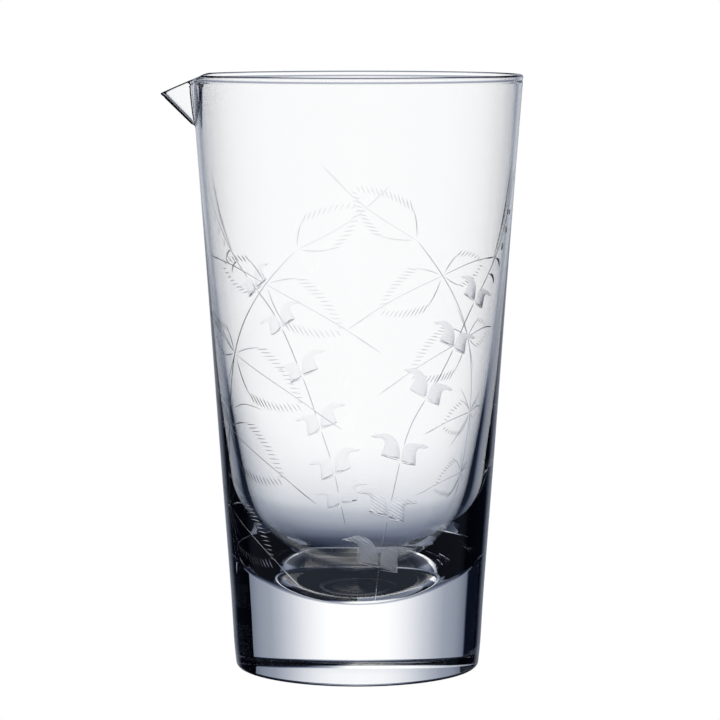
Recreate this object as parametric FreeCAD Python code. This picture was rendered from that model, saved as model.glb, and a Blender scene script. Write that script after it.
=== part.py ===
"""Mixing glass: one piece of clear crystal with a thick base, tapered wall, round rim and pulled spout.

The glass stands on z = 0 with its axis on Z, and its spout points along -X. It is a single blown piece,
modelled as the regions that a glassworker shapes one after another. The regions meet face to face.
"""
import FreeCAD, Part
import math
import os

V = FreeCAD.Vector
ORIGIN = V(0.0, 0.0, 0.0)
UP = V(0.0, 0.0, 1.0)

# Driving dimensions, in millimetres.
HEIGHT = 155.0              # from the resting face to the top of the rim
BASE_RADIUS = 31.9          # outside, just above the foot
RIM_RADIUS = 43.0           # outside, at the rim
RIM_THICKNESS = 1.5
FOOT_CORNER = 1.2           # rounding between the resting face and the wall
BOWL_FLOOR = 18.5           # thickness of glass under the middle of the bowl
BASE_TOP = 46.0             # where the thick base passes into the drawn wall
RIM_BAND = 4.0              # height of the fire-polished band at the top

# The spout is pulled out of the rim: outward along -X and down, over a narrow width in Y.
SPOUT_REACH = 8.3           # pull at the very top; the tip ends about 8 mm beyond the rim's own radius
SPOUT_DROP = 4.8            # tip below the rim
SPOUT_HEIGHT = 14.0         # from the foot of the spout to the rim
SPOUT_HALF_WIDTH = 6.0      # at the rim, where the beak leaves the round wall
SPOUT_RIDGE_ROUND = 0.9     # rounding of the beak along its ridge
SPOUT_CREASE_ROUND = 0.9    # rounding where the beak leaves the wall, at the rim
SPOUT_CREASE_START = 0.05   # the same at the foot of the spout
SPOUT_FOOT_BLEND = 0.125    # share of the spout's height over which it leaves the wall
SHOULDER_HALF_WIDTH = 17.0  # the rim starts to dip this far from the spout's middle
SHOULDER_DROP = 1.0         # dip of the rim where the beak begins

SPOUT_FOOT = HEIGHT - SPOUT_HEIGHT
LIP_START = HEIGHT - RIM_THICKNESS / 2.0     # where the straight wall ends and the round lip begins
LIP_MIDDLE = RIM_RADIUS - RIM_THICKNESS / 2.0

# Outer wall: height and outside radius. It is nearly a cone, and a little fuller near the foot.
OUTER_WALL = [
    (FOOT_CORNER, BASE_RADIUS),
    (5.0, 32.3),
    (12.0, 32.75),
    (28.0, 33.8),
    (60.0, 36.15),
    (96.0, 38.65),
    (LIP_START, RIM_RADIUS),
]

# Bowl: height and inside radius. Its round part rises from the middle of the floor, and one long arc goes on
# from there to the rim.
ROUND_BOWL = [
    (BOWL_FLOOR, 0.0),
    (19.3, 7.0),
    (21.5, 13.0),
    (25.0, 18.2),
    (30.0, 22.5),
    (36.0, 26.0),
    (43.0, 28.5),
    (52.0, 30.5),
    (65.0, 32.8),
]
BOWL_WALL_MIDDLE = (112.0, 38.5)
BOWL_WALL_END = (LIP_START, RIM_RADIUS - RIM_THICKNESS)

# Fineness of the spout's sections.
SECTIONS_EACH_SIDE = 14
SECTION_CROWDING = 1.5      # above 1, the sections lie closer together towards the ridge
SECTION_HEIGHTS = 8


def spline_curve(points):
    """A smooth curve through the points."""
    curve = Part.BSplineCurve()
    curve.interpolate(points)
    return curve


def profile_point(height, radius):
    return V(radius, 0.0, height)


def outer_curve():
    return spline_curve([profile_point(z, r) for z, r in OUTER_WALL])


def bowl_wall_curve():
    along = (ROUND_BOWL[-1], BOWL_WALL_MIDDLE, BOWL_WALL_END)
    return Part.Arc(*[profile_point(z, r) for z, r in along])


def round_bowl_curve():
    """It starts level, so that the floor is smooth across the axis, and runs on smoothly into the wall."""
    wall = bowl_wall_curve().toShape().Curve
    wall_direction = wall.tangent(wall.parameter(profile_point(*ROUND_BOWL[-1])))[0]
    if wall_direction.z < 0.0:
        wall_direction = -wall_direction
    curve = Part.BSplineCurve()
    curve.interpolate(
        Points=[profile_point(z, r) for z, r in ROUND_BOWL],
        InitialTangent=V(1.0, 0.0, 0.0),
        FinalTangent=wall_direction,
    )
    return curve


def whole_glass():
    """The glass without its spout: the closed half profile turned about Z."""
    outer = outer_curve()
    round_bowl = round_bowl_curve()
    bowl_wall = bowl_wall_curve()
    foot_centre = profile_point(FOOT_CORNER, BASE_RADIUS - FOOT_CORNER)
    foot_middle = foot_centre + V(1.0, 0.0, -1.0) * (FOOT_CORNER / math.sqrt(2.0))
    foot_edge = profile_point(0.0, BASE_RADIUS - FOOT_CORNER)
    lip_top = profile_point(HEIGHT, LIP_MIDDLE)
    edges = [
        Part.makeLine(ORIGIN, foot_edge),
        Part.Arc(foot_edge, foot_middle, outer.StartPoint).toShape(),
        outer.toShape(),
        Part.Arc(outer.EndPoint, lip_top, profile_point(*BOWL_WALL_END)).toShape(),
        bowl_wall.toShape(),
        round_bowl.toShape(),
        Part.makeLine(round_bowl.StartPoint, ORIGIN),
    ]
    face = Part.Face(Part.Wire(Part.__sortEdges__(edges)))
    return face.revolve(ORIGIN, UP, 360.0)


def slab(bottom, top):
    """Everything between two heights."""
    side = 4.0 * RIM_RADIUS
    return Part.makeBox(side, side, top - bottom, V(-side / 2.0, -side / 2.0, bottom))


def spout_space():
    """The box that the spout's part of the wall and rim is taken from."""
    corner = V(-2.0 * RIM_RADIUS, -SHOULDER_HALF_WIDTH, SPOUT_FOOT)
    return Part.makeBox(1.5 * RIM_RADIUS, 2.0 * SHOULDER_HALF_WIDTH, 2.0 * SPOUT_HEIGHT, corner)


def between_0_and_1(value):
    return min(max(value, 0.0), 1.0)


def smooth_step(value):
    t = between_0_and_1(value)
    return t * t * (3.0 - 2.0 * t)


def rounded_ramp(value, rounding):
    """Nought below nought and the value itself above it, with the corner rounded."""
    return 0.5 * (value + math.hypot(value, rounding))


def pulled(x, y, z):
    """Where a point of the plain wall goes when the spout is pulled."""
    share = between_0_and_1((z - SPOUT_FOOT) / SPOUT_HEIGHT)
    from_ridge = math.hypot(y, SPOUT_RIDGE_ROUND) - SPOUT_RIDGE_ROUND
    beak = SPOUT_REACH * (share - from_ridge / SPOUT_HALF_WIDTH)
    crease = SPOUT_CREASE_START + (SPOUT_CREASE_ROUND - SPOUT_CREASE_START) * share
    fade = smooth_step((SHOULDER_HALF_WIDTH - abs(y)) / (SHOULDER_HALF_WIDTH - SPOUT_HALF_WIDTH))
    out = rounded_ramp(beak, crease) * fade * smooth_step(share / SPOUT_FOOT_BLEND)
    drop = SHOULDER_DROP * share * fade + (SPOUT_DROP - SHOULDER_DROP) * out / SPOUT_REACH
    return V(x - out, y, z - drop)


def radius_at(curve, height):
    """Radius of a profile curve at a height: where a level line crosses it."""
    level = Part.makeLine(profile_point(height, 0.0), profile_point(height, 2.0 * RIM_RADIUS))
    return level.distToShape(curve.toShape())[1][0][0].x


def spout():
    """The spout: sections across the wall at steps of Y, each pulled out and down, then lofted."""
    outer, bowl = outer_curve(), bowl_wall_curve()
    step = (LIP_START - SPOUT_FOOT) / SECTION_HEIGHTS
    heights = [SPOUT_FOOT + step * i for i in range(SECTION_HEIGHTS + 1)]
    outside_radii = [radius_at(outer, z) for z in heights]
    inside_radii = [radius_at(bowl, z) for z in heights]
    sections = []
    for i in range(-SECTIONS_EACH_SIDE, SECTIONS_EACH_SIDE + 1):
        t = i / SECTIONS_EACH_SIDE
        y = SHOULDER_HALF_WIDTH * math.copysign(abs(t) ** SECTION_CROWDING, t)

        def placed(radius, height):
            return pulled(-math.sqrt(radius * radius - y * y), y, height)

        outside = [placed(r, z) for r, z in zip(outside_radii, heights)]
        inside = [placed(r, z) for r, z in zip(inside_radii, heights)]
        lip_top = placed(LIP_MIDDLE, HEIGHT)
        edges = [
            spline_curve(outside).toShape(),
            Part.Arc(outside[-1], lip_top, inside[-1]).toShape(),
            spline_curve(inside[::-1]).toShape(),
            Part.makeLine(inside[0], outside[0]),
        ]
        sections.append(Part.Wire(edges))
    # Ruled from section to section, so that nothing rises above the rim between them.
    return Part.makeLoft(sections, True, True)


def build():
    """Every region of the glass, by node name."""
    glass = whole_glass()
    band_bottom = HEIGHT - RIM_BAND
    space = spout_space()
    plain_wall = glass.common(slab(BASE_TOP, SPOUT_FOOT))
    notched_wall = glass.common(slab(SPOUT_FOOT, band_bottom)).cut(space)
    return {
        "heavy_base": glass.common(slab(0.0, BASE_TOP)),
        "tapered_wall": plain_wall.fuse(notched_wall),
        "rim": glass.common(slab(band_bottom, 2.0 * HEIGHT)).cut(space),
        "pouring_spout": spout(),
    }


os.makedirs("parts", exist_ok=True)
for node, shape in build().items():
    print(node, "valid", shape.isValid(), "solids", len(shape.Solids), "volume", round(shape.Volume, 1),
          "box", shape.BoundBox)
    shape.Solids[0].exportStep("parts/" + node + ".step")
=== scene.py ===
"""Mixing glass: clear crystal with wheel-cut ferns and bell flowers, standing in a bright studio.

The glass is one closed mesh in place of the four CAD regions. Its foot, rim, spout and bowl are turned about
the axis, and its engraved wall is two half-round panels whose grooves are cut into the surface as geometry.
Lengths are in millimetres until the mesh is made, and in metres for the floor and the camera. Angles are in
degrees. The axis is Z, the spout points along -X, and the front faces -Y.
"""
import math
import random

import bpy
import numpy as np
from mathutils import Matrix, Vector
from mathutils.geometry import delaunay_2d_cdt


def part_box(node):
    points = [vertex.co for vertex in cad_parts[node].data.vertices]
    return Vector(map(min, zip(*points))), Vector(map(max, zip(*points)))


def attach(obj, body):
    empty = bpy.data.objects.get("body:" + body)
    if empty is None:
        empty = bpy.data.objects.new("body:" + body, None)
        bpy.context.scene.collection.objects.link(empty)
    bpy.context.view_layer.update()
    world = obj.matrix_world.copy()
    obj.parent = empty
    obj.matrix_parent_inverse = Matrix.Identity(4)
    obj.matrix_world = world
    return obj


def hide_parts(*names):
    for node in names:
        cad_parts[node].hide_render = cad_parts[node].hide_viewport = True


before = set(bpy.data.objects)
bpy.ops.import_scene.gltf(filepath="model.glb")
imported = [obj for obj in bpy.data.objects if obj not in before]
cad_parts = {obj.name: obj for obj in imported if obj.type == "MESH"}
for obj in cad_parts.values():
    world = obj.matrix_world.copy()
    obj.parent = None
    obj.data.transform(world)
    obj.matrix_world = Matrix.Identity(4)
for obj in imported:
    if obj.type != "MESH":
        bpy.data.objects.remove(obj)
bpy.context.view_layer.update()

MM = 0.001
random.seed(7)

# ---------------------------------------------------------------- sizes

_, rim_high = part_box("rim")
HEIGHT = rim_high.z / MM
RIM_RADIUS = rim_high.y / MM
RIM_THICKNESS = 1.5
LIP_START = HEIGHT - RIM_THICKNESS / 2
LIP_MIDDLE = RIM_RADIUS - RIM_THICKNESS / 2
NECK_BELOW_LIP = 0.9        # a slight hollow in the wall, just under the lip
NECK_HEIGHT = LIP_START - NECK_BELOW_LIP
NECK_DEPTH = 0.16
NECK_SPREAD = 0.3
FOOT_CORNER = 1.2
BASE_RADIUS = 31.9

# Height and radius, as the CAD model has them.
OUTER_WALL = [
    (FOOT_CORNER, BASE_RADIUS),
    (5.0, 32.3),
    (12.0, 32.75),
    (28.0, 33.8),
    (60.0, 36.15),
    (96.0, 38.65),
    (LIP_START, RIM_RADIUS),
]
BOWL = [
    (18.5, 0.0),
    (19.3, 7.0),
    (21.5, 13.0),
    (25.0, 18.2),
    (30.0, 22.5),
    (36.0, 26.0),
    (43.0, 28.5),
    (52.0, 30.5),
    (65.0, 32.8),
    (88.0, 35.9),
    (112.0, 38.5),
    (134.0, 40.3),
    (LIP_START, RIM_RADIUS - RIM_THICKNESS),
]

# The spout, pulled out of the wall and rim as in the CAD model.
SPOUT_AZIMUTH = -90.0
SPOUT_REACH = 8.3
SPOUT_DROP = 4.8
SPOUT_HEIGHT = 14.0
SPOUT_HALF_WIDTH = 6.0
SPOUT_RIDGE_ROUND = 0.9
SPOUT_CREASE_ROUND = 0.9
SPOUT_CREASE_START = 0.05
SPOUT_FOOT_BLEND = 0.125
SHOULDER_HALF_WIDTH = 17.0
SHOULDER_DROP = 1.0
SPOUT_FOOT = HEIGHT - SPOUT_HEIGHT

# The engraved panels reach over this much of the wall's height. Each covers half of its round.
PANEL_BOTTOM = 12.0
PANEL_TOP = 138.0
PANEL_ROW = 3.0
PANEL_END_GAP = 1.0         # no row of points comes nearer to the panel's top
PANEL_HEIGHTS = np.arange(PANEL_BOTTOM + PANEL_ROW, PANEL_TOP - PANEL_END_GAP, PANEL_ROW)
CUT_MARGIN = 0.5            # cuts stay this far inside the panel, in degrees and in millimetres
QUARTER = 90.0              # a panel reaches this far to each side of its middle
COLUMN_STEP = 1.5           # degrees between the mesh's columns, away from the spout
MEAN_RADIUS = 37.5
DEGREE = math.radians(1.0) * MEAN_RADIUS     # millimetres round the wall to a degree

# Fineness of the mesh.
WALL_CURVE_STEPS = 40       # for each span of the outer wall's curve
BOWL_CURVE_STEPS = 8
BEAK_STEP, BEAK_REACH = 0.25, 9.0            # degrees between columns, and how far that goes from the spout
SHOULDER_STEP, SHOULDER_REACH = 0.75, 24.0
FOOT_RINGS = (0.0, 10.0, 20.0, 28.0, 30.3)   # radii on the resting face
LOW_WALL_ROWS = (2.0, 3.0, 4.0, 5.0, 6.5, 8.0, 10.0)
CORNER_POINTS = 9
HIGH_WALL_ROWS = 22
NECK_ROWS_START = LIP_START - 2.4            # from here up the rows are closer
NECK_ROWS = 13
LIP_POINTS = 15

TINY = 1e-6                 # places closer than this are the same place
JOIN_DISTANCE = 1e-4        # points of crossing cuts that are closer than this become one
FILL_ALL = 0                # the triangulation's word for filling the whole outline

# The kinds of face, in the order of the materials.
CLEAR, CUT, FROSTED, FROSTED_BEHIND = 0, 1, 2, 3


# ---------------------------------------------------------------- curves

def curve_through(points, steps):
    """A smooth curve through the points, each span cut into that many steps."""
    p = np.array(points, float)
    chord = np.hypot(*np.diff(p, axis=0).T)
    count = len(p)
    system = np.eye(count)
    right = np.zeros((count, 2))
    for i in range(1, count - 1):
        before, after = chord[i - 1], chord[i]
        system[i, i - 1:i + 2] = before, 2 * (before + after), after
        right[i] = 6 * ((p[i + 1] - p[i]) / after - (p[i] - p[i - 1]) / before)
    bend = np.linalg.solve(system, right)
    made = []
    for i, span in enumerate(chord):
        cubic = (bend[i + 1] - bend[i]) / (6 * span)
        start = (p[i + 1] - p[i]) / span - span * (2 * bend[i] + bend[i + 1]) / 6
        for step in range(steps):
            x = span * step / steps
            made.append(((cubic * x + bend[i] / 2) * x + start) * x + p[i])
    made.append(p[-1])
    return np.array(made)


def evenly(path, count):
    """The same path with its points evenly spaced."""
    travelled = np.concatenate(([0.0], np.cumsum(np.hypot(*np.diff(path, axis=0).T))))
    wanted = np.linspace(0.0, travelled[-1], count)
    return np.stack([np.interp(wanted, travelled, path[:, axis]) for axis in (0, 1)], axis=1)


OUTER_CURVE = curve_through(OUTER_WALL, WALL_CURVE_STEPS)
# The bowl's curve runs through its mirror image too, so that the floor is level at the axis.
MIRRORED_BOWL = [(z, -r) for z, r in BOWL[:0:-1]] + BOWL
BOWL_CURVE = curve_through(MIRRORED_BOWL, BOWL_CURVE_STEPS)[(len(BOWL) - 1) * BOWL_CURVE_STEPS:]


def outer_radius(z):
    return np.interp(z, OUTER_CURVE[:, 0], OUTER_CURVE[:, 1])


def outer_slope(z):
    """How fast the radius grows with height."""
    reach = 1.5
    return (outer_radius(z + reach) - outer_radius(z - reach)) / (2 * reach)


def neck(z):
    """The slight hollow that fire-polishing leaves just under the lip."""
    return NECK_DEPTH * math.exp(-((z - NECK_HEIGHT) / NECK_SPREAD) ** 2)


def smooth_step(t):
    t = min(max(t, 0.0), 1.0)
    return t * t * (3 - 2 * t)


def pulled(x, y, z):
    """Where a point of the plain wall goes when the spout is pulled, as in the CAD model."""
    share = (z - SPOUT_FOOT) / SPOUT_HEIGHT
    if share <= 0 or x > 0 or abs(y) >= SHOULDER_HALF_WIDTH:
        return x, y, z
    from_ridge = math.hypot(y, SPOUT_RIDGE_ROUND) - SPOUT_RIDGE_ROUND
    beak = SPOUT_REACH * (share - from_ridge / SPOUT_HALF_WIDTH)
    crease = SPOUT_CREASE_START + (SPOUT_CREASE_ROUND - SPOUT_CREASE_START) * share
    fade = smooth_step((SHOULDER_HALF_WIDTH - abs(y)) / (SHOULDER_HALF_WIDTH - SPOUT_HALF_WIDTH))
    out = 0.5 * (beak + math.hypot(beak, crease)) * fade * smooth_step(share / SPOUT_FOOT_BLEND)
    drop = SHOULDER_DROP * share * fade + (SPOUT_DROP - SHOULDER_DROP) * out / SPOUT_REACH
    return x - out, y, z - drop


# ---------------------------------------------------------------- cuts on the unrolled wall

def place(azimuth, height):
    """A point of the unrolled wall: millimetres round it from the panel's middle, and height."""
    return np.array([azimuth * DEGREE, height])


def away_from(path, p):
    """How far each of the points p is from the path."""
    starts, run = path[:-1], np.diff(path, axis=0)
    away = p[:, None, :] - starts[None]
    along = np.clip((away * run).sum(2) / np.maximum((run * run).sum(1), TINY ** 2), 0.0, 1.0)
    return np.hypot(*np.moveaxis(away - along[:, :, None] * run, 2, 0)).min(1)


class Groove:
    """A V-shaped cut along a smooth path, pointed at both ends. A smaller taper makes them blunter."""

    kind = CUT
    slope = 0.5             # depth over half width
    curve_steps = 12
    fewest_points = 5
    least_depth = 1e-5      # what is shallower counts as uncut

    def __init__(self, points, half_width, taper, spacing=1.0):
        path = curve_through(points, self.curve_steps)
        length = np.hypot(*np.diff(path, axis=0).T).sum()
        count = max(self.fewest_points, int(length / spacing) + 1)
        self.path = evenly(path, count)
        along = np.linspace(0.0, 1.0, count)
        self.widths = half_width * np.sin(np.pi * along) ** taper
        self.widths[[0, -1]] = 0.0

    def outlines(self):
        """The closed outline and the groove's bottom line."""
        run = np.gradient(self.path, axis=0)
        across = np.stack([-run[:, 1], run[:, 0]], axis=1) / np.hypot(run[:, 0], run[:, 1])[:, None]
        offset = across * self.widths[:, None]
        left, right = self.path + offset, self.path - offset
        return [(np.concatenate([left, right[-2:0:-1]]), True), (self.path, False)]

    def depth(self, p):
        run = np.diff(self.path, axis=0)
        away = p[:, None, :] - self.path[None, :-1, :]
        along = np.clip((away * run).sum(2) / (run * run).sum(1), 0.0, 1.0)
        distance = np.hypot(*np.moveaxis(away - along[:, :, None] * run, 2, 0))
        width = self.widths[:-1] + along * np.diff(self.widths)
        return self.slope * np.maximum((width - distance).max(1), 0.0)

    def holds(self, p):
        return self.depth(p) > self.least_depth


class Lobe:
    """A broad matt cut, deepest along its straight bottom edge and fading out towards its top."""

    kind = FROSTED
    curve_steps = 4
    steep = 0.16            # width of the steep face along the bottom edge
    ledge_share = 0.94      # the line where that face ends is this much of the edge's length
    spacing = 0.6           # between the points inside
    margin = 0.15           # they stay this far from the outline
    soft = 1.2              # width over which the cut fades in from its sides
    fall_power = 0.8        # how full the cut stays towards its top
    side_power = 0.7        # and towards its sides

    def __init__(self, bottom_inner, bottom_outer, sides, depth):
        self.bottom = np.array([bottom_inner, bottom_outer])
        self.sides = curve_through([bottom_outer] + sides + [bottom_inner], self.curve_steps)
        self.outline = self.sides[:-1]
        self.full_depth = depth
        edge = self.bottom[1] - self.bottom[0]
        inward = np.array([-edge[1], edge[0]]) / np.hypot(*edge)
        if ((self.sides.mean(0) - self.bottom[0]) * inward).sum() < 0:
            inward = -inward
        self.inward = inward
        self.tallness = ((self.sides - self.bottom[0]) @ inward).max()

    def outlines(self):
        """The closed outline, the line above the bottom edge, and points inside."""
        ledge = self.bottom + self.inward * self.steep
        middle = ledge.mean(0)
        ledge = middle + (ledge - middle) * self.ledge_share
        low, high = self.outline.min(0), self.outline.max(0)
        columns = np.arange(low[0], high[0], self.spacing)
        rows = np.arange(low[1], high[1], self.spacing)
        inner = np.stack(np.meshgrid(columns, rows), 2).reshape(-1, 2)
        inner = inner[self.holds(inner)]
        closed = np.concatenate([self.outline, self.outline[:1]])
        inner = inner[away_from(closed, inner) > self.margin]
        return [(self.outline, True), (ledge, False)] + [(q[None, :], False) for q in inner]

    def holds(self, p):
        """Whether each point is inside: a level line from it crosses the outline an odd number of times."""
        a, b = self.outline, np.roll(self.outline, -1, axis=0)
        x, y = p[:, 0][:, None], p[:, 1][:, None]
        spans = (a[:, 1] > y) != (b[:, 1] > y)
        rise = np.where(b[:, 1] == a[:, 1], 1.0, b[:, 1] - a[:, 1])
        crossing = a[:, 0] + (y - a[:, 1]) * (b[:, 0] - a[:, 0]) / rise
        return (spans & (x < crossing)).sum(1) % 2 == 1

    def depth(self, p):
        up = (p - self.bottom[0]) @ self.inward
        fall = np.clip(1.0 - up / self.tallness, 0.0, 1.0) ** self.fall_power
        side = np.clip(away_from(self.sides, p) / self.soft, 0.0, 1.0) ** self.side_power
        foot = np.clip(up / self.steep, 0.0, 1.0)
        return np.where(self.holds(p), self.full_depth * fall * side * foot, 0.0)


# ---------------------------------------------------------------- plants

def turned(vector, degrees):
    """The vector turned anticlockwise."""
    a = math.radians(degrees)
    return np.array([
        vector[0] * math.cos(a) - vector[1] * math.sin(a),
        vector[0] * math.sin(a) + vector[1] * math.cos(a),
    ])


def outward(vector, angle):
    """The vector turned square, to the side that the angle goes to."""
    return turned(vector, 90 if angle > 0 else -90)


# The short strokes that edge a leaf, in a row from its side stroke round to its spine.
TICK_LENGTH = 4.2           # full length of a stroke, on a long leaf
TICK_HALF_WIDTH = 0.16
TICK_SPACING = 1.15
FEWEST_TICKS = 4
COMB_BULGE = 0.07           # how far the row bows outward, over its length
COMB_TURN = 0.85            # turn of the first stroke, over the side stroke's
COMB_TURN_LOSS = 0.25       # what the turn, length and width lose by the last stroke
COMB_LENGTH_LOSS = 0.4
COMB_WIDTH_LOSS = 0.3
UNEVEN_TURN = 4.0           # degrees that a stroke may be off
UNEVEN_LENGTH = (0.85, 1.1)

# A leaf, with places along it as shares of its spine.
SPINE_HALF_WIDTH = 0.12
LONG_SPACING = 1.5          # between the points of a long thin groove
END_STROKE_START = 0.7      # the spine's thicker end stroke
END_STROKE_SAG = 0.8        # share of the leaf's sag where that stroke starts
END_STROKE_HALF_WIDTH = 0.2
SIDE_SHARES = (0.28, 0.32)  # length of the two side strokes
SIDE_HALF_WIDTH = 0.17
SIDE_GAP = 0.1              # share of a side stroke that is missing at the spine
SIDE_BOW = 0.04
COMB_START = 0.02           # a comb starts this far beyond its side stroke's end
COMB_END = 0.68             # and ends at this place on the spine
COMB_STROKE = 0.12          # full length of a stroke, on a shorter leaf

# A fern: how its leaves bend, and the turns of their two side strokes.
END_LEAF_SAG = -0.06
RIGHT_LEAF_SAG = 0.03
LEFT_LEAF_SAG = -0.05
RIGHT_OPENING = (41, -34)
LEFT_OPENING = (36, -36)
FERN_STEM_HALF_WIDTH = 0.17
SPRAY_HALF_WIDTH = 0.14


def tick(middle, direction, length, half_width):
    """A short pointed stroke."""
    reach = direction / np.hypot(*direction) * length / 2
    return Groove([middle - reach, middle + reach], half_width, taper=0.8)


def comb(side_end, spine, spine_end, angle, full_length):
    """The row of short strokes that edges one side of a leaf."""
    cuts = []
    gap = spine_end - side_end
    bulge = (side_end + spine_end) / 2 + outward(gap, angle) * COMB_BULGE
    count = max(FEWEST_TICKS, int(np.hypot(*gap) / TICK_SPACING))
    middles = evenly(curve_through([side_end, bulge, spine_end], steps=8), count)[:-1]
    for i, middle in enumerate(middles):
        share = (i + 0.5) / count
        uneven = random.uniform(-UNEVEN_TURN, UNEVEN_TURN)
        way = turned(spine, angle * (COMB_TURN - COMB_TURN_LOSS * share) + uneven)
        length = full_length * (1 - COMB_LENGTH_LOSS * share) * random.uniform(*UNEVEN_LENGTH)
        cuts.append(tick(middle, way, length, TICK_HALF_WIDTH * (1 - COMB_WIDTH_LOSS * share)))
    return cuts


def leaf(node, tip, sag, opening):
    """A fern leaf: a thin spine that ends in a thicker stroke, two side strokes, and a comb on each edge."""
    spine = tip - node
    length = np.hypot(*spine)
    bend = turned(spine, 90) * sag
    end_stroke = node + spine * END_STROKE_START + bend * END_STROKE_SAG
    cuts = [
        Groove([node, (node + tip) / 2 + bend, tip], SPINE_HALF_WIDTH, taper=0.3, spacing=LONG_SPACING),
        Groove([end_stroke, tip], END_STROKE_HALF_WIDTH, taper=0.9),
    ]
    for angle, share in zip(opening, SIDE_SHARES):
        run = turned(spine, angle) * share
        start = node + run * SIDE_GAP
        end = node + run
        middle = (start + end) / 2 + outward(run, angle) * SIDE_BOW
        cuts.append(Groove([start, middle, end], SIDE_HALF_WIDTH, taper=0.7))
        stroke = min(TICK_LENGTH, COMB_STROKE * length)
        cuts += comb(end + spine * COMB_START, spine, node + spine * COMB_END, angle, stroke)
    return cuts


def fern(nodes, right_tips, left_tips, root):
    """A fern: a thin stem through its nodes, an end leaf, and a leaf on each side of every node."""
    places = [place(*n) for n in nodes]
    stem = places + [place(*root)]
    cuts = [Groove(stem, FERN_STEM_HALF_WIDTH, taper=0.15, spacing=LONG_SPACING)]
    for i, (node, tip) in enumerate(zip(places, right_tips)):
        cuts += leaf(node, place(*tip), RIGHT_LEAF_SAG if i else END_LEAF_SAG, RIGHT_OPENING)
    for node, tip in zip(places[1:], left_tips):
        cuts += leaf(node, place(*tip), LEFT_LEAF_SAG, LEFT_OPENING)
    return cuts


def spray(node, tips):
    """Short strokes that spread out from a node of the fern."""
    return [Groove([place(*node), place(*tip)], SPRAY_HALF_WIDTH, taper=0.7) for tip in tips]


# The two lobes of a flower, in millimetres from the place where the stem enters its bottom edge: the inner
# end of the bottom edge, its outer end, and the way round from there over the curled tip and back.
LEFT_LOBE = (
    (-0.1, 0.3),
    (-6.2, 1.6),
    [(-5.7, 3.6), (-5.5, 5.6), (-7.4, 6.6), (-10.0, 7.0), (-7.9, 7.6), (-5.9, 8.1), (-4.2, 7.8), (-2.1, 6.6),
     (-0.8, 4.5), (-0.3, 2.3)],
)
RIGHT_LOBE = (
    (0.2, -0.2),
    (5.2, -0.9),
    [(5.1, 1.4), (5.2, 3.7), (6.9, 4.3), (9.0, 4.7), (6.8, 5.5), (4.2, 5.6), (1.6, 5.3), (0.6, 4.0),
     (0.3, 1.9)],
)
LOBE_DEPTH = 0.3
EDGE_HALF_WIDTH = 0.13      # the groove along a lobe's bottom edge, and the one in its curled tip
HEAD_HEIGHT = 4.4           # the stem goes on from here above the foot of a flower

# A stem of bell flowers. Its path has STEM_STEPS points to a span, and lengths and gaps along it are counted
# in those points.
STEM_STEPS = 16
STEM_HALF_WIDTH = 0.16
STEM_TAPER = 0.12
STEM_POINTS = 8
LEAN_REACH = 8              # the stem's lean is taken over this many points
LEAN_SHARE = 0.5            # a flower leans this share of what its stem leans there
LEAN_EXTRA = -2.0           # and this many degrees more

# The crest: long blades, buds and petals at the top of a stem, each a little higher than the last.
BLADES = 6
BLADE_GAP = 3
BLADE_REACH = 26
BLADE_TOP = 12              # no blade starts higher
BLADE_LEAN = np.array([-1.5, 0.9])
BLADE_SPREAD = np.array([-0.35, 0.7])
BLADE_BOW = 0.25
BLADE_HALF_WIDTH = 0.15
BUDS = 3
BUD_START = 10              # above the crest's start
BUD_GAP = 7
BUD_OFFSET = np.array([1.6, -1.0])
BUD_ACROSS = 1.15
BUD_TALL = 1.0
BUD_SHRINK = 0.12
BUD_TURNS = np.linspace(-2.0, 2.8, 8)        # radians round a bud, which is open where it joins the stem
BUD_DEPTH = 0.14
PETALS = 2
PETAL_START = 4             # below the crest's start
PETAL = np.array([(0.4, 0.2), (2.2, -0.2), (3.6, -2.6)])
PETAL_HALF_WIDTH = 0.45


def flower(foot, lean, size):
    """A bell flower on the stem: a left and a right lobe, each with a pointed petal that curls outward."""

    def spot(point):
        return foot + turned(np.array(point), -lean) * size

    cuts = []
    for inner, outer, sides in (LEFT_LOBE, RIGHT_LOBE):
        cuts.append(Lobe(spot(inner), spot(outer), [spot(q) for q in sides], LOBE_DEPTH))
        cuts.append(Groove([spot(inner), spot(outer)], EDGE_HALF_WIDTH, taper=0.3))
        tip = sides.index(max(sides, key=lambda q: abs(q[0])))
        cuts.append(Groove([spot(sides[tip - 1]), spot(sides[tip])], EDGE_HALF_WIDTH, taper=0.8))
    return cuts


def bud(middle, across, tall):
    """A small closed bud: a round matt cut."""
    ring = [middle + np.array([across * math.cos(a), tall * math.sin(a)]) for a in BUD_TURNS]
    return Lobe(ring[-1], ring[0], ring[1:-1], BUD_DEPTH)


def nearest_height(path, height):
    """The number of the path's point that is nearest to a height."""
    return int(np.abs(path[:, 1] - height).argmin())


def crest(path, first):
    """Blades, buds and petals at the top of a stem's path, from its point number first on upward."""
    cuts = []
    for i in range(BLADES):
        start = path[max(first - BLADE_GAP * i, BLADE_TOP)]
        inward = BLADE_LEAN + BLADE_SPREAD * i
        end = path[max(first - BLADE_GAP * i - BLADE_REACH, 0)] + inward
        middle = (start + end) / 2 + inward * BLADE_BOW
        cuts.append(Groove([start, middle, end], BLADE_HALF_WIDTH, taper=0.7))
    for i in range(BUDS):
        beside = path[first - BUD_START - BUD_GAP * i]
        cuts.append(bud(beside + BUD_OFFSET, BUD_ACROSS - BUD_SHRINK * i, BUD_TALL - BUD_SHRINK * i))
    for i in range(PETALS):
        beside = path[first + PETAL_START - BUD_GAP * i]
        cuts.append(Groove(beside + PETAL, PETAL_HALF_WIDTH, taper=0.8))
    return cuts


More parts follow.
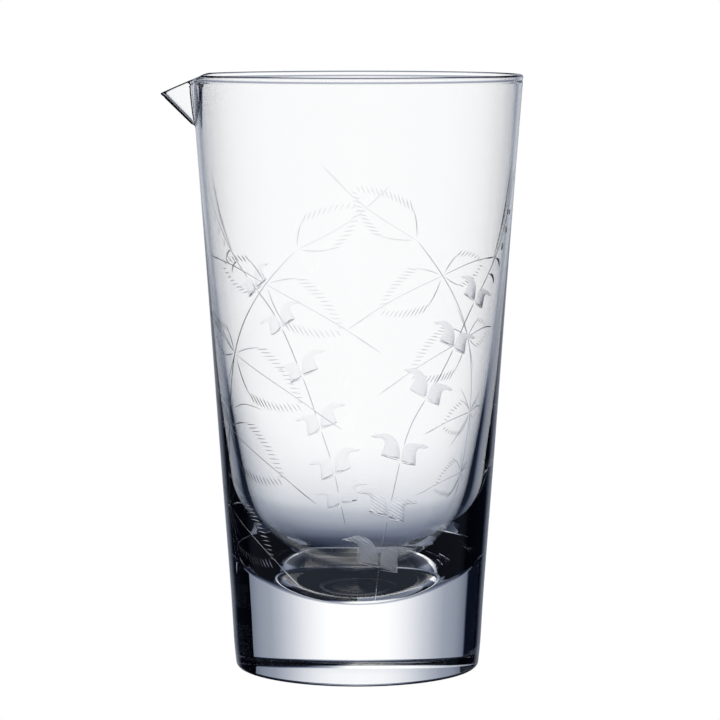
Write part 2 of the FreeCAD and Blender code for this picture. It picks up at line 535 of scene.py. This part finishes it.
def bell_stem(stem, flower_feet, sizes, crest_start):
    """A stem of bell flowers that get smaller upward, with a crest at its top. The path runs downward."""
    path = curve_through([place(*p) for p in stem], STEM_STEPS)
    cuts = []
    upper_end = 0
    for foot_height, size in zip(flower_feet[::-1], sizes[::-1]):
        foot = nearest_height(path, foot_height)
        head = nearest_height(path, foot_height + HEAD_HEIGHT * size)
        run = path[foot - LEAN_REACH] - path[foot]
        lean = math.degrees(math.atan2(run[0], run[1]))
        cuts += flower(path[foot], lean * LEAN_SHARE + LEAN_EXTRA, size)
        cuts.append(Groove(evenly(path[upper_end:head + 1], STEM_POINTS), STEM_HALF_WIDTH, STEM_TAPER))
        upper_end = foot
    cuts.append(Groove(evenly(path[upper_end:], STEM_POINTS), STEM_HALF_WIDTH, STEM_TAPER))
    return cuts + crest(path, nearest_height(path, crest_start))


# Azimuth and height of each plant's points, from the middle of its own half of the glass.
FRONT_PLANTS = (
    fern(
        nodes=[(-22.5, 112.0), (-36.0, 103.0), (-55.5, 84.5), (-64.0, 65.0), (-70.0, 44.0)],
        right_tips=[(12.0, 128.5), (9.5, 86.0), (-5.5, 66.5), (-16.0, 47.0), (-24.0, 25.0)],
        left_tips=[(-72.0, 109.0), (-84.0, 94.5), (-86.0, 73.0), (-86.0, 50.0)],
        root=(-68.0, 30.0),
    )
    + spray((-55.5, 84.5), [(-62.0, 77.0), (-68.0, 92.0)])
    + spray((-64.0, 65.0), [(-72.0, 71.5), (-70.5, 57.5), (-57.0, 56.5)])
    + spray((-70.0, 44.0), [(-78.0, 50.0), (-61.5, 36.5), (-77.0, 38.0), (-62.0, 49.0)])
    + [Groove([place(-58.2, 70.2), place(-52.8, 71.5), place(-40.9, 70.7)], SPRAY_HALF_WIDTH, taper=0.5)]
    + bell_stem(
        stem=[(80.0, 131.0), (75.5, 124.0), (68.0, 114.0), (58.5, 105.0), (48.0, 96.0), (41.5, 88.5),
              (31.5, 77.5), (22.0, 68.0), (16.6, 56.0), (12.8, 44.5), (9.7, 33.5), (7.7, 22.5)],
        flower_feet=[31.0, 44.0, 58.5, 74.0, 86.5, 97.5],
        sizes=[1.05, 0.91, 0.86, 0.84, 0.8, 0.74],
        crest_start=106.5,
    )
)
BACK_PLANTS = (
    fern(
        nodes=[(-25.0, 108.5), (-38.0, 99.0), (-57.0, 83.0), (-69.5, 63.0), (-73.0, 46.0)],
        right_tips=[(14.0, 130.0), (4.5, 83.0), (-9.0, 64.5), (-34.0, 54.0), (-32.5, 35.5)],
        left_tips=[(-75.0, 106.0), (-86.0, 88.0), (-87.0, 66.5), (-87.0, 49.0)],
        root=(-71.0, 30.0),
    )
    + spray((-57.0, 83.0), [(-66.0, 74.0), (-47.0, 91.0)])
    + spray((-69.5, 63.0), [(-82.0, 71.5), (-75.5, 56.5), (-54.0, 51.5), (-55.0, 69.0)])
    + spray((-73.0, 46.0), [(-82.0, 50.5), (-66.5, 52.0), (-61.5, 36.5), (-73.5, 38.5), (-80.0, 43.5)])
    + bell_stem(
        stem=[(84.0, 129.0), (78.0, 121.0), (69.5, 113.0), (60.0, 105.0), (50.0, 97.5), (39.0, 89.0),
              (28.8, 75.5), (23.2, 66.0), (18.6, 56.5), (12.0, 42.5), (9.5, 33.5), (7.5, 22.5)],
        flower_feet=[31.5, 41.5, 55.0, 70.0, 84.0, 95.5],
        sizes=[1.0, 0.94, 0.9, 0.86, 0.8, 0.74],
        crest_start=105.5,
    )
)


# ---------------------------------------------------------------- the mesh

NO_NORMAL = (0.0, 0.0, 0.0)    # leaves the surface's direction at a point to Blender


class Glass:
    """Points, faces, the kind of each face, and the smooth surface's direction at each point."""

    def __init__(self):
        self.points, self.normals, self.faces, self.kinds = [], [], [], []

    def point(self, position, normal=NO_NORMAL):
        self.points.append(position)
        self.normals.append(normal)
        return len(self.points) - 1

    def face(self, corners, kind=CLEAR):
        self.faces.append(corners)
        self.kinds.append(kind)


def column_azimuths():
    """Where the mesh's columns stand: evenly round the glass, and closer together at the spout."""
    half = [0.0]
    while half[-1] < 180.0 - TINY:
        from_spout = half[-1]
        step = COLUMN_STEP
        if from_spout < BEAK_REACH:
            step = BEAK_STEP
        elif from_spout < SHOULDER_REACH:
            step = SHOULDER_STEP
        half.append(from_spout + step)
    return [SPOUT_AZIMUTH + a for a in half] + [SPOUT_AZIMUTH + 360.0 - a for a in half[-2:0:-1]]


COLUMNS = column_azimuths()


def on_wall(azimuth, z, depth=0.0):
    """A point of the outer wall, at some depth under its surface, and the surface's direction there."""
    a = math.radians(azimuth)
    slope = float(outer_slope(z))
    size = math.hypot(1.0, slope)
    normal = (math.sin(a) / size, -math.cos(a) / size, -slope / size)
    r = float(outer_radius(z))
    base = (r * math.sin(a), -r * math.cos(a), z)
    return tuple(b - n * depth for b, n in zip(base, normal)), normal


def ring_about_axis(glass, z, r, run):
    """The points of one ring of a turned surface. The profile runs in the direction run there."""
    if r < TINY:
        return [glass.point((0.0, 0.0, z))]
    size = math.hypot(*run)
    across, up = run[0] / size, -run[1] / size
    ring = []
    for azimuth in COLUMNS:
        a = math.radians(azimuth)
        # Above the panels the spout bends the surface, so its direction there is left to Blender.
        normal = NO_NORMAL if z > PANEL_TOP else (across * math.sin(a), -across * math.cos(a), up)
        ring.append(glass.point(pulled(r * math.sin(a), -r * math.cos(a), z), normal))
    return ring


def turned_surface(glass, profile):
    """A surface turned about the axis from a profile of heights and radii. Gives back its rings of points."""
    runs = np.gradient(profile, axis=0)
    rings = [ring_about_axis(glass, z, r, run) for (z, r), run in zip(profile, runs)]
    for low, high in zip(rings[:-1], rings[1:]):
        for i in range(len(COLUMNS)):
            j = (i + 1) % len(COLUMNS)
            if len(low) == 1:
                glass.face((low[0], high[j], high[i]))
            elif len(high) == 1:
                glass.face((low[i], low[j], high[0]))
            else:
                glass.face((low[i], low[j], high[j], high[i]))
    return rings


class Sheet:
    """A panel laid out flat: its points, the lines its triangles keep, and the points the glass has."""

    def __init__(self):
        self.points, self.lines, self.known = [], [], {}

    def point(self, spot, known=None):
        self.points.append((float(spot[0]), float(spot[1])))
        if known is not None:
            self.known[len(self.points) - 1] = known
        return len(self.points) - 1

    def line(self, ids, closed):
        self.lines.extend(zip(ids[:-1], ids[1:]))
        if closed:
            self.lines.append((ids[-1], ids[0]))


def laid_out(cuts, border):
    """The sheet with its border, its rows of points and its cuts, and each cut with the box it lies in."""
    sheet = Sheet()
    sheet.line([sheet.point(spot, known) for spot, known in border], True)
    for z in PANEL_HEIGHTS:
        for azimuth in np.arange(COLUMN_STEP - QUARTER, QUARTER, COLUMN_STEP):
            sheet.point(place(azimuth, z))
    # A cut that isn't wholly inside the panel is left out.
    low = place(CUT_MARGIN - QUARTER, PANEL_BOTTOM + CUT_MARGIN)
    high = place(QUARTER - CUT_MARGIN, PANEL_TOP - CUT_MARGIN)
    kept = []
    for cut in cuts:
        outlines = cut.outlines()
        every = np.concatenate([points for points, _ in outlines])
        if (every < low).any() or (every > high).any():
            continue
        kept.append((cut, every.min(0), every.max(0)))
        for points, closed in outlines:
            sheet.line([sheet.point(q) for q in points], closed)
    return sheet, kept


def depths_and_kinds(kept, spots, centres):
    """How deep the cuts go at each spot, and the kind of each triangle by its centre."""
    depths = np.zeros(len(spots))
    kinds = np.full(len(centres), CLEAR)
    for cut, least, most in kept:
        near = np.flatnonzero(((spots >= least) & (spots <= most)).all(1))
        if len(near):
            depths[near] = np.maximum(depths[near], cut.depth(spots[near]))
        near = np.flatnonzero(((centres >= least) & (centres <= most)).all(1))
        if len(near):
            inside = near[cut.holds(centres[near])]
            kinds[inside] = np.where(kinds[inside] == CUT, CUT, cut.kind)
    return depths, kinds


def panel(glass, cuts, turn, border):
    """Half of the engraved wall: its cuts are laid out flat, joined into triangles, and rolled up."""
    sheet, kept = laid_out(cuts, border)
    points = [Vector(q) for q in sheet.points]
    made, _, triangles, sources, _, _ = delaunay_2d_cdt(
        points, sheet.lines, [], FILL_ALL, JOIN_DISTANCE, True)
    spots = np.array([tuple(q) for q in made])
    corners = np.array([tuple(t) for t in triangles])
    depths, kinds = depths_and_kinds(kept, spots, spots[corners].mean(1))
    ids = []
    for spot, depth, source in zip(spots, depths, sources):
        known = next((sheet.known[s] for s in source if s in sheet.known), None)
        if known is None:
            known = glass.point(*on_wall(spot[0] / DEGREE + turn, spot[1], depth))
        ids.append(known)
    for triangle, kind in zip(corners, kinds):
        kind = FROSTED_BEHIND if kind == FROSTED and turn else int(kind)
        glass.face(tuple(ids[c] for c in triangle), kind)


def half_border(ring, turn):
    """The part of a ring that a panel ends on: azimuths from its middle, and point numbers, left to right."""
    found = []
    for azimuth, known in zip(COLUMNS, ring):
        local = (azimuth - turn + 180.0) % 360.0 - 180.0
        if abs(local) <= QUARTER + TINY:
            found.append((min(max(local, -QUARTER), QUARTER), known))
    return sorted(found)


def foot_profile():
    """From the middle of the resting face round the foot's corner and up to the engraved panels."""
    under = [(0.0, r) for r in FOOT_RINGS]
    corner = [
        (FOOT_CORNER - FOOT_CORNER * math.cos(a), BASE_RADIUS - FOOT_CORNER + FOOT_CORNER * math.sin(a))
        for a in np.linspace(0.0, math.pi / 2, CORNER_POINTS)
    ]
    low_wall = [(z, float(outer_radius(z))) for z in LOW_WALL_ROWS + (PANEL_BOTTOM,)]
    return np.array(under + corner + low_wall)


def rim_and_bowl_profile():
    """From the top of the engraved panels over the lip and down to the middle of the bowl's floor."""
    high = np.linspace(PANEL_TOP, LIP_START, HIGH_WALL_ROWS)
    high = np.concatenate([high[high < NECK_ROWS_START], np.linspace(NECK_ROWS_START, LIP_START, NECK_ROWS)])
    high_wall = [(z, float(outer_radius(z)) - neck(z)) for z in high]
    lip = [
        (LIP_START + RIM_THICKNESS / 2 * math.sin(a), LIP_MIDDLE + RIM_THICKNESS / 2 * math.cos(a))
        for a in np.linspace(0.0, math.pi, LIP_POINTS)[1:-1]
    ]
    high_bowl = [(z, float(np.interp(z, *BOWL_CURVE.T))) for z in high[::-1]]
    low_bowl = [(z, r) for z, r in BOWL_CURVE[::-1] if z < PANEL_TOP - PANEL_END_GAP]
    low_bowl[-1] = (low_bowl[-1][0], 0.0)
    return np.array(high_wall + lip + high_bowl + low_bowl)


def glass_shape():
    """The points and faces of the whole glass."""
    glass = Glass()
    foot_rings = turned_surface(glass, foot_profile())
    top_rings = turned_surface(glass, rim_and_bowl_profile())
    left_seam, right_seam = (
        [glass.point(*on_wall(azimuth, float(z))) for z in PANEL_HEIGHTS] for azimuth in (-QUARTER, QUARTER)
    )
    for cuts, turn, seams in (
        (FRONT_PLANTS, 0.0, (left_seam, right_seam)),
        (BACK_PLANTS, 180.0, (right_seam, left_seam)),
    ):
        bottom = [(place(a, PANEL_BOTTOM), k) for a, k in half_border(foot_rings[-1], turn)]
        top = [(place(a, PANEL_TOP), k) for a, k in half_border(top_rings[0], turn)]
        left, right = (
            [(place(side, z), k) for z, k in zip(PANEL_HEIGHTS, seam)]
            for side, seam in zip((-QUARTER, QUARTER), seams)
        )
        panel(glass, cuts, turn, bottom + right + top[::-1] + left[::-1])
    return glass


def glass_mesh():
    """The whole glass as one closed mesh, in metres, with the smooth surface's directions."""
    glass = glass_shape()
    mesh = bpy.data.meshes.new("mixing_glass")
    mesh.from_pydata([tuple(c * MM for c in p) for p in glass.points], [], glass.faces)
    kinds = np.array(glass.kinds)
    mesh.polygons.foreach_set("material_index", kinds)
    mesh.polygons.foreach_set("use_smooth", kinds == CLEAR)
    mesh.update()
    corner_points = np.zeros(len(mesh.loops), int)
    mesh.loops.foreach_get("vertex_index", corner_points)
    corner_kinds = np.repeat(kinds, [len(f) for f in glass.faces])
    directions = np.array(glass.normals)[corner_points]
    directions[corner_kinds != CLEAR] = 0.0
    mesh.normals_split_custom_set(directions.tolist())
    return mesh


# ---------------------------------------------------------------- materials

GLASS_INDEX = 1.52
CRYSTAL_TINT = (0.996, 0.998, 1.0, 1.0)
MATT_TINT = (0.975, 0.985, 1.0, 1.0)


def crystal(name, colour, roughness, transmission, wear):
    """Clear crystal glass. wear adds the surface's small detail: it takes the node tree and the shader."""
    material = bpy.data.materials.new(name)
    material.use_nodes = True
    tree = material.node_tree
    shader = tree.nodes["Principled BSDF"]
    shader.inputs["Base Color"].default_value = colour
    shader.inputs["Transmission Weight"].default_value = transmission
    shader.inputs["Roughness"].default_value = roughness
    shader.inputs["IOR"].default_value = GLASS_INDEX
    wear(tree, shader)
    return material


def link_bump(tree, shader, height, strength, distance):
    bump = tree.nodes.new("ShaderNodeBump")
    bump.inputs["Strength"].default_value = strength
    bump.inputs["Distance"].default_value = distance
    tree.links.new(height, bump.inputs["Height"])
    tree.links.new(bump.outputs["Normal"], shader.inputs["Normal"])


def object_texture(tree, kind, scale, detail, stretch=(1.0, 1.0, 1.0), turn=(0.0, 0.0, 0.0)):
    """A procedural texture in the glass's own space."""
    coordinates = tree.nodes.new("ShaderNodeTexCoord")
    mapping = tree.nodes.new("ShaderNodeMapping")
    mapping.inputs["Scale"].default_value = stretch
    mapping.inputs["Rotation"].default_value = turn
    texture = tree.nodes.new(kind)
    texture.inputs["Scale"].default_value = scale
    texture.inputs["Detail"].default_value = detail
    tree.links.new(coordinates.outputs["Object"], mapping.inputs["Vector"])
    tree.links.new(mapping.outputs["Vector"], texture.inputs["Vector"])
    return texture


def drawn_waviness(tree, shader):
    """The faint unevenness that drawing and turning the hot glass leaves."""
    noise = object_texture(tree, "ShaderNodeTexNoise", scale=28.0, detail=1.0, stretch=(1.0, 1.0, 0.45))
    link_bump(tree, shader, noise.outputs["Fac"], strength=0.12, distance=0.0002)


def wheel_marks(tree, shader):
    """Fine grain left in the bottom of a groove by the wheel."""
    noise = object_texture(tree, "ShaderNodeTexNoise", scale=2600.0, detail=2.0)
    link_bump(tree, shader, noise.outputs["Fac"], strength=0.25, distance=0.00005)


def hatching(tree, shader):
    """Fine parallel strokes of the wheel across a matt lobe."""
    slant = (0.0, math.radians(55.0), 0.0)
    wave = object_texture(tree, "ShaderNodeTexWave", scale=420.0, detail=1.0, turn=slant)
    wave.inputs["Distortion"].default_value = 1.5
    link_bump(tree, shader, wave.outputs["Fac"], strength=0.35, distance=0.00008)


# ---------------------------------------------------------------- studio

# Brightness by direction, as (degrees, brightness). "Around" is measured from straight behind the glass, and
# is positive to the right. "Sideways" is the same without its sign. "Upward" is measured from level.
SIDEWAYS = [
    (0, 1.0), (8, 0.97), (13, 0.87), (18, 0.72), (22, 0.58), (27, 0.44), (32, 0.33), (40, 0.27), (47, 0.18),
    (49, 0.004), (70, 0.004), (74, 0.5), (100, 0.7), (180, 0.75),
]
UPWARD = [
    (-90, 0.02), (-68, 0.024), (-55, 0.08), (-43, 0.2), (-37, 0.32), (-30, 0.5), (-26, 0.69), (-20, 0.82),
    (-14, 1.0), (8, 1.0), (11.5, 0.93), (13.5, 0.5), (17, 0.04), (90, 0.02),
]
PANEL_END = 47.5            # rays reflected inside the glass see nothing beyond this, to either side
PANEL_BRIGHTNESS = 1.15
TINT_POWERS = (1.08, 1.0, 0.84)              # red, green and blue: less light is also a little bluer

# What mirror images on the outside of the glass see, in place of SIDEWAYS.
MIRROR_SIDEWAYS = [(0, 0.4), (24, 0.25), (34, 0.01), (66, 0.01), (75, 0.08), (100, 0.1), (180, 0.05)]

# A ray's depth tells how it came through the glass.
STRAIGHT = 3.0              # through the base, or through one wall
ONE_REFLECTION = 4.0        # the same, with a reflection inside
BOTH_WALLS = 5.0            # through the bowl's two walls
LONGER = 3.5                # between straight and anything longer
WANDERING = 6.5             # reflected over and over
HALF = 0.5                  # far enough from a whole number to tell two depths apart

# Shares of the light that are lost on the way inside the glass.
REFLECTION_LOSS = 0.05
WANDERING_LOSS = 0.75

# Black flags, as the middle and the half width of what they cover.
SIDE_FLAG = (75.0, 12.0)    # sideways, for straight rays: it widens the black bars at the base's sides
RIGHT_FLAG = (58.0, 12.0)   # around, for every ray: the panel ends a little sooner on the right

# Shares of the light that grey flags take: in the base's lower corners, and along the edge of the foot.
LOW_CORNER_SIDEWAYS = [(31, 0.0), (38, 0.93), (64, 0.93), (72, 0.0)]
LOW_CORNER_UPWARD = [(-20, 1.0), (-14, 0.0)]
FOOT_EDGE_SIDEWAYS = [(0, 0.55), (20, 0.95), (180, 0.95)]
FOOT_EDGE_UPWARD = [(1, 0.0), (4, 1.0), (90, 1.0)]

# A light over the panel, for rays reflected inside: it lights the foot's back corner, seen through the base.
BACK_CORNER_AROUND = [(-80, 0.2), (-40, 0.5), (-16, 1.0), (3, 1.0), (10, 0.3), (20, 0.0)]
BACK_CORNER_LOWEST = 12.0

# A second panel, low on the left, for straight rays and those through both walls.
LOW_PANEL_AROUND = [(-64, 0.0), (-58, 0.6), (-38, 0.6), (-24, 0.0)]
LOW_PANEL_UPWARD = [(-70, 0.0), (-52, 0.6), (-40, 1.0), (-17, 1.0), (-9, 0.0)]

TABLE_TOP = -35.0           # below this direction a ray sees the table
TABLE_DARK = 0.022
MATT_LIGHT = 0.62           # what diffuse rays see: it brightens the cuts

WHITE = (1.0, 1.0, 1.0, 1.0)
DISC_SIDES = 96
FLOOR_RADIUS = 3.0
FLOOR_HEIGHT = -0.0002
UNDER_FOOT_INSET = 0.4      # millimetres inside the foot's outline
UNDER_FOOT_RADIUS = (BASE_RADIUS - UNDER_FOOT_INSET) * MM
UNDER_FOOT_HEIGHT = -0.0001
# Colour of the painted shadow under the foot: a dark disc in place of the shade that the glass casts there.
UNDER_FOOT_PAINTED_SHADOW = (0.016, 0.019, 0.025, 1.0)

CAMERA_DISTANCE = 0.9
CAMERA_ABOVE_RIM = 1.23     # degrees that it looks down on the rim
CAMERA_PITCH = 5.951
CAMERA_YAW = -0.045
CAMERA_LENS = 173.14        # millimetres, for the sensor below
CAMERA_SENSOR = 36.0
CAMERA_CLIP_START = 0.05


class Sums:
    """Short names for arithmetic nodes. Yes and no are 1 and 0."""

    def __init__(self, tree):
        self.tree = tree

    def __call__(self, operation, *values):
        node = self.tree.nodes.new("ShaderNodeMath")
        node.operation = operation
        for socket, value in zip(node.inputs, values):
            if isinstance(value, (int, float)):
                socket.default_value = value
            else:
                self.tree.links.new(value, socket)
        return node.outputs[0]

    def both(self, first, second):
        return self("MULTIPLY", first, second)

    def without(self, light, share):
        """The light less a share of it."""
        return self.both(light, self("SUBTRACT", 1.0, share))

    def within(self, value, middle, reach):
        return self("COMPARE", value, middle, reach)

    def ramp(self, value, stops):
        """A brightness that changes with a value in degrees."""
        low, high = stops[0][0], stops[-1][0]
        node = self.tree.nodes.new("ShaderNodeValToRGB")
        elements = node.color_ramp.elements
        while len(elements) < len(stops):
            elements.new(1.0)
        for element, (degrees, brightness) in zip(elements, stops):
            element.position = (degrees - low) / (high - low)
            element.color = (brightness, brightness, brightness, 1.0)
        share = self("DIVIDE", self("SUBTRACT", value, low), high - low)
        self.tree.links.new(share, node.inputs[0])
        return node.outputs[0]


class Ray:
    """Where a ray goes, and how it came there."""

    def __init__(self, sums):
        coordinates = sums.tree.nodes.new("ShaderNodeTexCoord")
        parts = sums.tree.nodes.new("ShaderNodeSeparateXYZ")
        sums.tree.links.new(coordinates.outputs["Generated"], parts.inputs[0])
        x, y, z = parts.outputs
        self.around = sums("MULTIPLY", sums("ARCTAN2", x, y), math.degrees(1.0))
        self.sideways = sums("ABSOLUTE", self.around)
        self.upward = sums("MULTIPLY", sums("ARCSINE", z), math.degrees(1.0))

        path = sums.tree.nodes.new("ShaderNodeLightPath")
        self.depth = path.outputs["Ray Depth"]
        self.straight = sums.within(self.depth, STRAIGHT, HALF)
        self.through_bowl = sums.within(self.depth, BOTH_WALLS, HALF)
        self.reflected_once = sums.within(self.depth, ONE_REFLECTION, HALF)
        self.reflected_inside = sums("GREATER_THAN", path.outputs["Glossy Depth"], HALF)
        self.mirrored = sums.both(path.outputs["Is Glossy Ray"], path.outputs["Is Reflection Ray"])
        self.scattered = path.outputs["Is Diffuse Ray"]
        self.from_camera = path.outputs["Is Camera Ray"]


def back_panel(sums, ray):
    """The bright panel behind the glass, and the open light all round beyond its dark flanks."""
    light = sums.both(sums.ramp(ray.sideways, SIDEWAYS), sums.ramp(ray.upward, UPWARD))
    beyond = sums("GREATER_THAN", ray.sideways, PANEL_END)
    light = sums.without(light, sums.both(beyond, ray.reflected_inside))
    light = sums.without(light, sums.both(ray.reflected_once, REFLECTION_LOSS))
    return sums.without(light, sums.both(sums("GREATER_THAN", ray.depth, WANDERING), WANDERING_LOSS))


def with_flags(sums, ray, light):
    """The light, less what the flags take: the base's lower corners, its sides and the edge of the foot."""
    corner = sums.both(sums.ramp(ray.sideways, LOW_CORNER_SIDEWAYS), sums.ramp(ray.upward, LOW_CORNER_UPWARD))
    light = sums.without(light, sums.both(corner, sums("GREATER_THAN", ray.depth, LONGER)))
    light = sums.without(light, sums.both(sums.within(ray.sideways, *SIDE_FLAG), ray.straight))
    edge = sums.both(sums.ramp(ray.upward, FOOT_EDGE_UPWARD), ray.straight)
    return sums.without(light, sums.both(edge, sums.ramp(ray.sideways, FOOT_EDGE_SIDEWAYS)))


def with_small_lights(sums, ray, light):
    """The light, with the one for the foot's back corner and the low panel on the left."""
    above = sums("GREATER_THAN", ray.upward, BACK_CORNER_LOWEST)
    back_corner = sums.both(sums.ramp(ray.around, BACK_CORNER_AROUND), above)
    light = sums("MAXIMUM", light, sums.both(back_corner, ray.reflected_inside))
    light = sums.without(light, sums.within(ray.around, *RIGHT_FLAG))
    low_panel = sums.both(sums.ramp(ray.around, LOW_PANEL_AROUND), sums.ramp(ray.upward, LOW_PANEL_UPWARD))
    return sums("MAXIMUM", light, sums.both(low_panel, sums("ADD", ray.straight, ray.through_bowl)))


def with_surroundings(sums, ray, light):
    """The light, with what mirror images on the outside, rays to the table and diffuse rays see."""
    mirror_light = sums.both(sums.ramp(ray.sideways, MIRROR_SIDEWAYS), sums.ramp(ray.upward, UPWARD))
    light = sums("ADD", sums.without(light, ray.mirrored), sums.both(mirror_light, ray.mirrored))
    light = sums("MAXIMUM", light, sums.both(sums("LESS_THAN", ray.upward, TABLE_TOP), TABLE_DARK))
    return sums("MAXIMUM", light, sums.both(ray.scattered, MATT_LIGHT))


def studio_light():
    """The studio as the glass sees it. The camera itself sees plain white."""
    world = bpy.data.worlds.new("studio")
    bpy.context.scene.world = world
    world.use_nodes = True
    tree = world.node_tree
    tree.nodes.clear()
    sums = Sums(tree)
    ray = Ray(sums)
    light = back_panel(sums, ray)
    for addition in (with_flags, with_small_lights, with_surroundings):
        light = addition(sums, ray, light)

    tint = tree.nodes.new("ShaderNodeCombineColor")
    for socket, power in zip(tint.inputs, TINT_POWERS):
        tree.links.new(sums("MULTIPLY", sums("POWER", light, power), PANEL_BRIGHTNESS), socket)
    seen = tree.nodes.new("ShaderNodeMix")
    seen.data_type = "RGBA"
    tree.links.new(ray.from_camera, seen.inputs["Factor"])
    tree.links.new(tint.outputs[0], seen.inputs["A"])
    seen.inputs["B"].default_value = WHITE
    background = tree.nodes.new("ShaderNodeBackground")
    background.inputs["Strength"].default_value = 1.0
    tree.links.new(seen.outputs["Result"], background.inputs["Color"])
    output = tree.nodes.new("ShaderNodeOutputWorld")
    tree.links.new(background.outputs[0], output.inputs[0])


def disc(name, radius, z, colour):
    """A flat round stage piece that shines evenly, so that nothing casts a shadow on it. Sizes in metres."""
    mesh = bpy.data.meshes.new(name)
    turns = [2 * math.pi * i / DISC_SIDES for i in range(DISC_SIDES)]
    corners = [(radius * math.cos(a), radius * math.sin(a), z) for a in turns]
    mesh.from_pydata(corners, [], [tuple(range(DISC_SIDES))])
    piece = bpy.data.objects.new(name, mesh)
    bpy.context.scene.collection.objects.link(piece)
    material = bpy.data.materials.new(name)
    material.use_nodes = True
    tree = material.node_tree
    tree.nodes.clear()
    glow = tree.nodes.new("ShaderNodeEmission")
    glow.inputs["Color"].default_value = colour
    output = tree.nodes.new("ShaderNodeOutputMaterial")
    tree.links.new(glow.outputs[0], output.inputs[0])
    mesh.materials.append(material)
    return piece


def floor_pieces():
    """The pale floor, which only the camera sees, and a painted shadow under the foot that the base shows: a
    dark disc that glows evenly in place of the shade there.
    """
    floor = disc("floor", FLOOR_RADIUS, FLOOR_HEIGHT, WHITE)
    floor.visible_transmission = False
    floor.visible_glossy = False
    floor.visible_diffuse = False
    floor.visible_shadow = False
    # Painted shadow: a dark glowing disc under the foot, seen only through the glass, in place of the shade
    # there.
    under = disc("painted_shadow_under_foot", UNDER_FOOT_RADIUS, UNDER_FOOT_HEIGHT, UNDER_FOOT_PAINTED_SHADOW)
    under.visible_camera = False
    under.visible_diffuse = False
    under.visible_shadow = False


def place_camera():
    """A long lens, a little above the rim, looking slightly down."""
    camera = bpy.data.cameras.new("camera")
    holder = bpy.data.objects.new("camera", camera)
    bpy.context.scene.collection.objects.link(holder)
    bpy.context.scene.camera = holder
    height = HEIGHT * MM + CAMERA_DISTANCE * math.tan(math.radians(CAMERA_ABOVE_RIM))
    holder.location = (0.0, -CAMERA_DISTANCE, height)
    tilt = Matrix.Rotation(math.pi / 2 - math.radians(CAMERA_PITCH), 4, "X")
    holder.rotation_euler = (Matrix.Rotation(math.radians(CAMERA_YAW), 4, "Z") @ tilt).to_euler()
    camera.sensor_width = CAMERA_SENSOR
    camera.lens = CAMERA_LENS
    camera.clip_start = CAMERA_CLIP_START


# ---------------------------------------------------------------- the scene

studio_light()
floor_pieces()
place_camera()
bpy.context.scene.view_settings.view_transform = "Standard"

mesh = glass_mesh()
for material in (
    crystal("clear_crystal", CRYSTAL_TINT, roughness=0.0, transmission=1.0, wear=drawn_waviness),
    crystal("polished_cut", CRYSTAL_TINT, roughness=0.2, transmission=0.97, wear=wheel_marks),
    crystal("matt_cut", MATT_TINT, roughness=0.36, transmission=0.92, wear=hatching),
    crystal("matt_cut_behind", MATT_TINT, roughness=0.2, transmission=0.96, wear=hatching),
):
    mesh.materials.append(material)
glass = bpy.data.objects.new("mixing_glass", mesh)
bpy.context.scene.collection.objects.link(glass)
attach(glass, "root")
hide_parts("heavy_base", "tapered_wall", "rim", "pouring_spout")
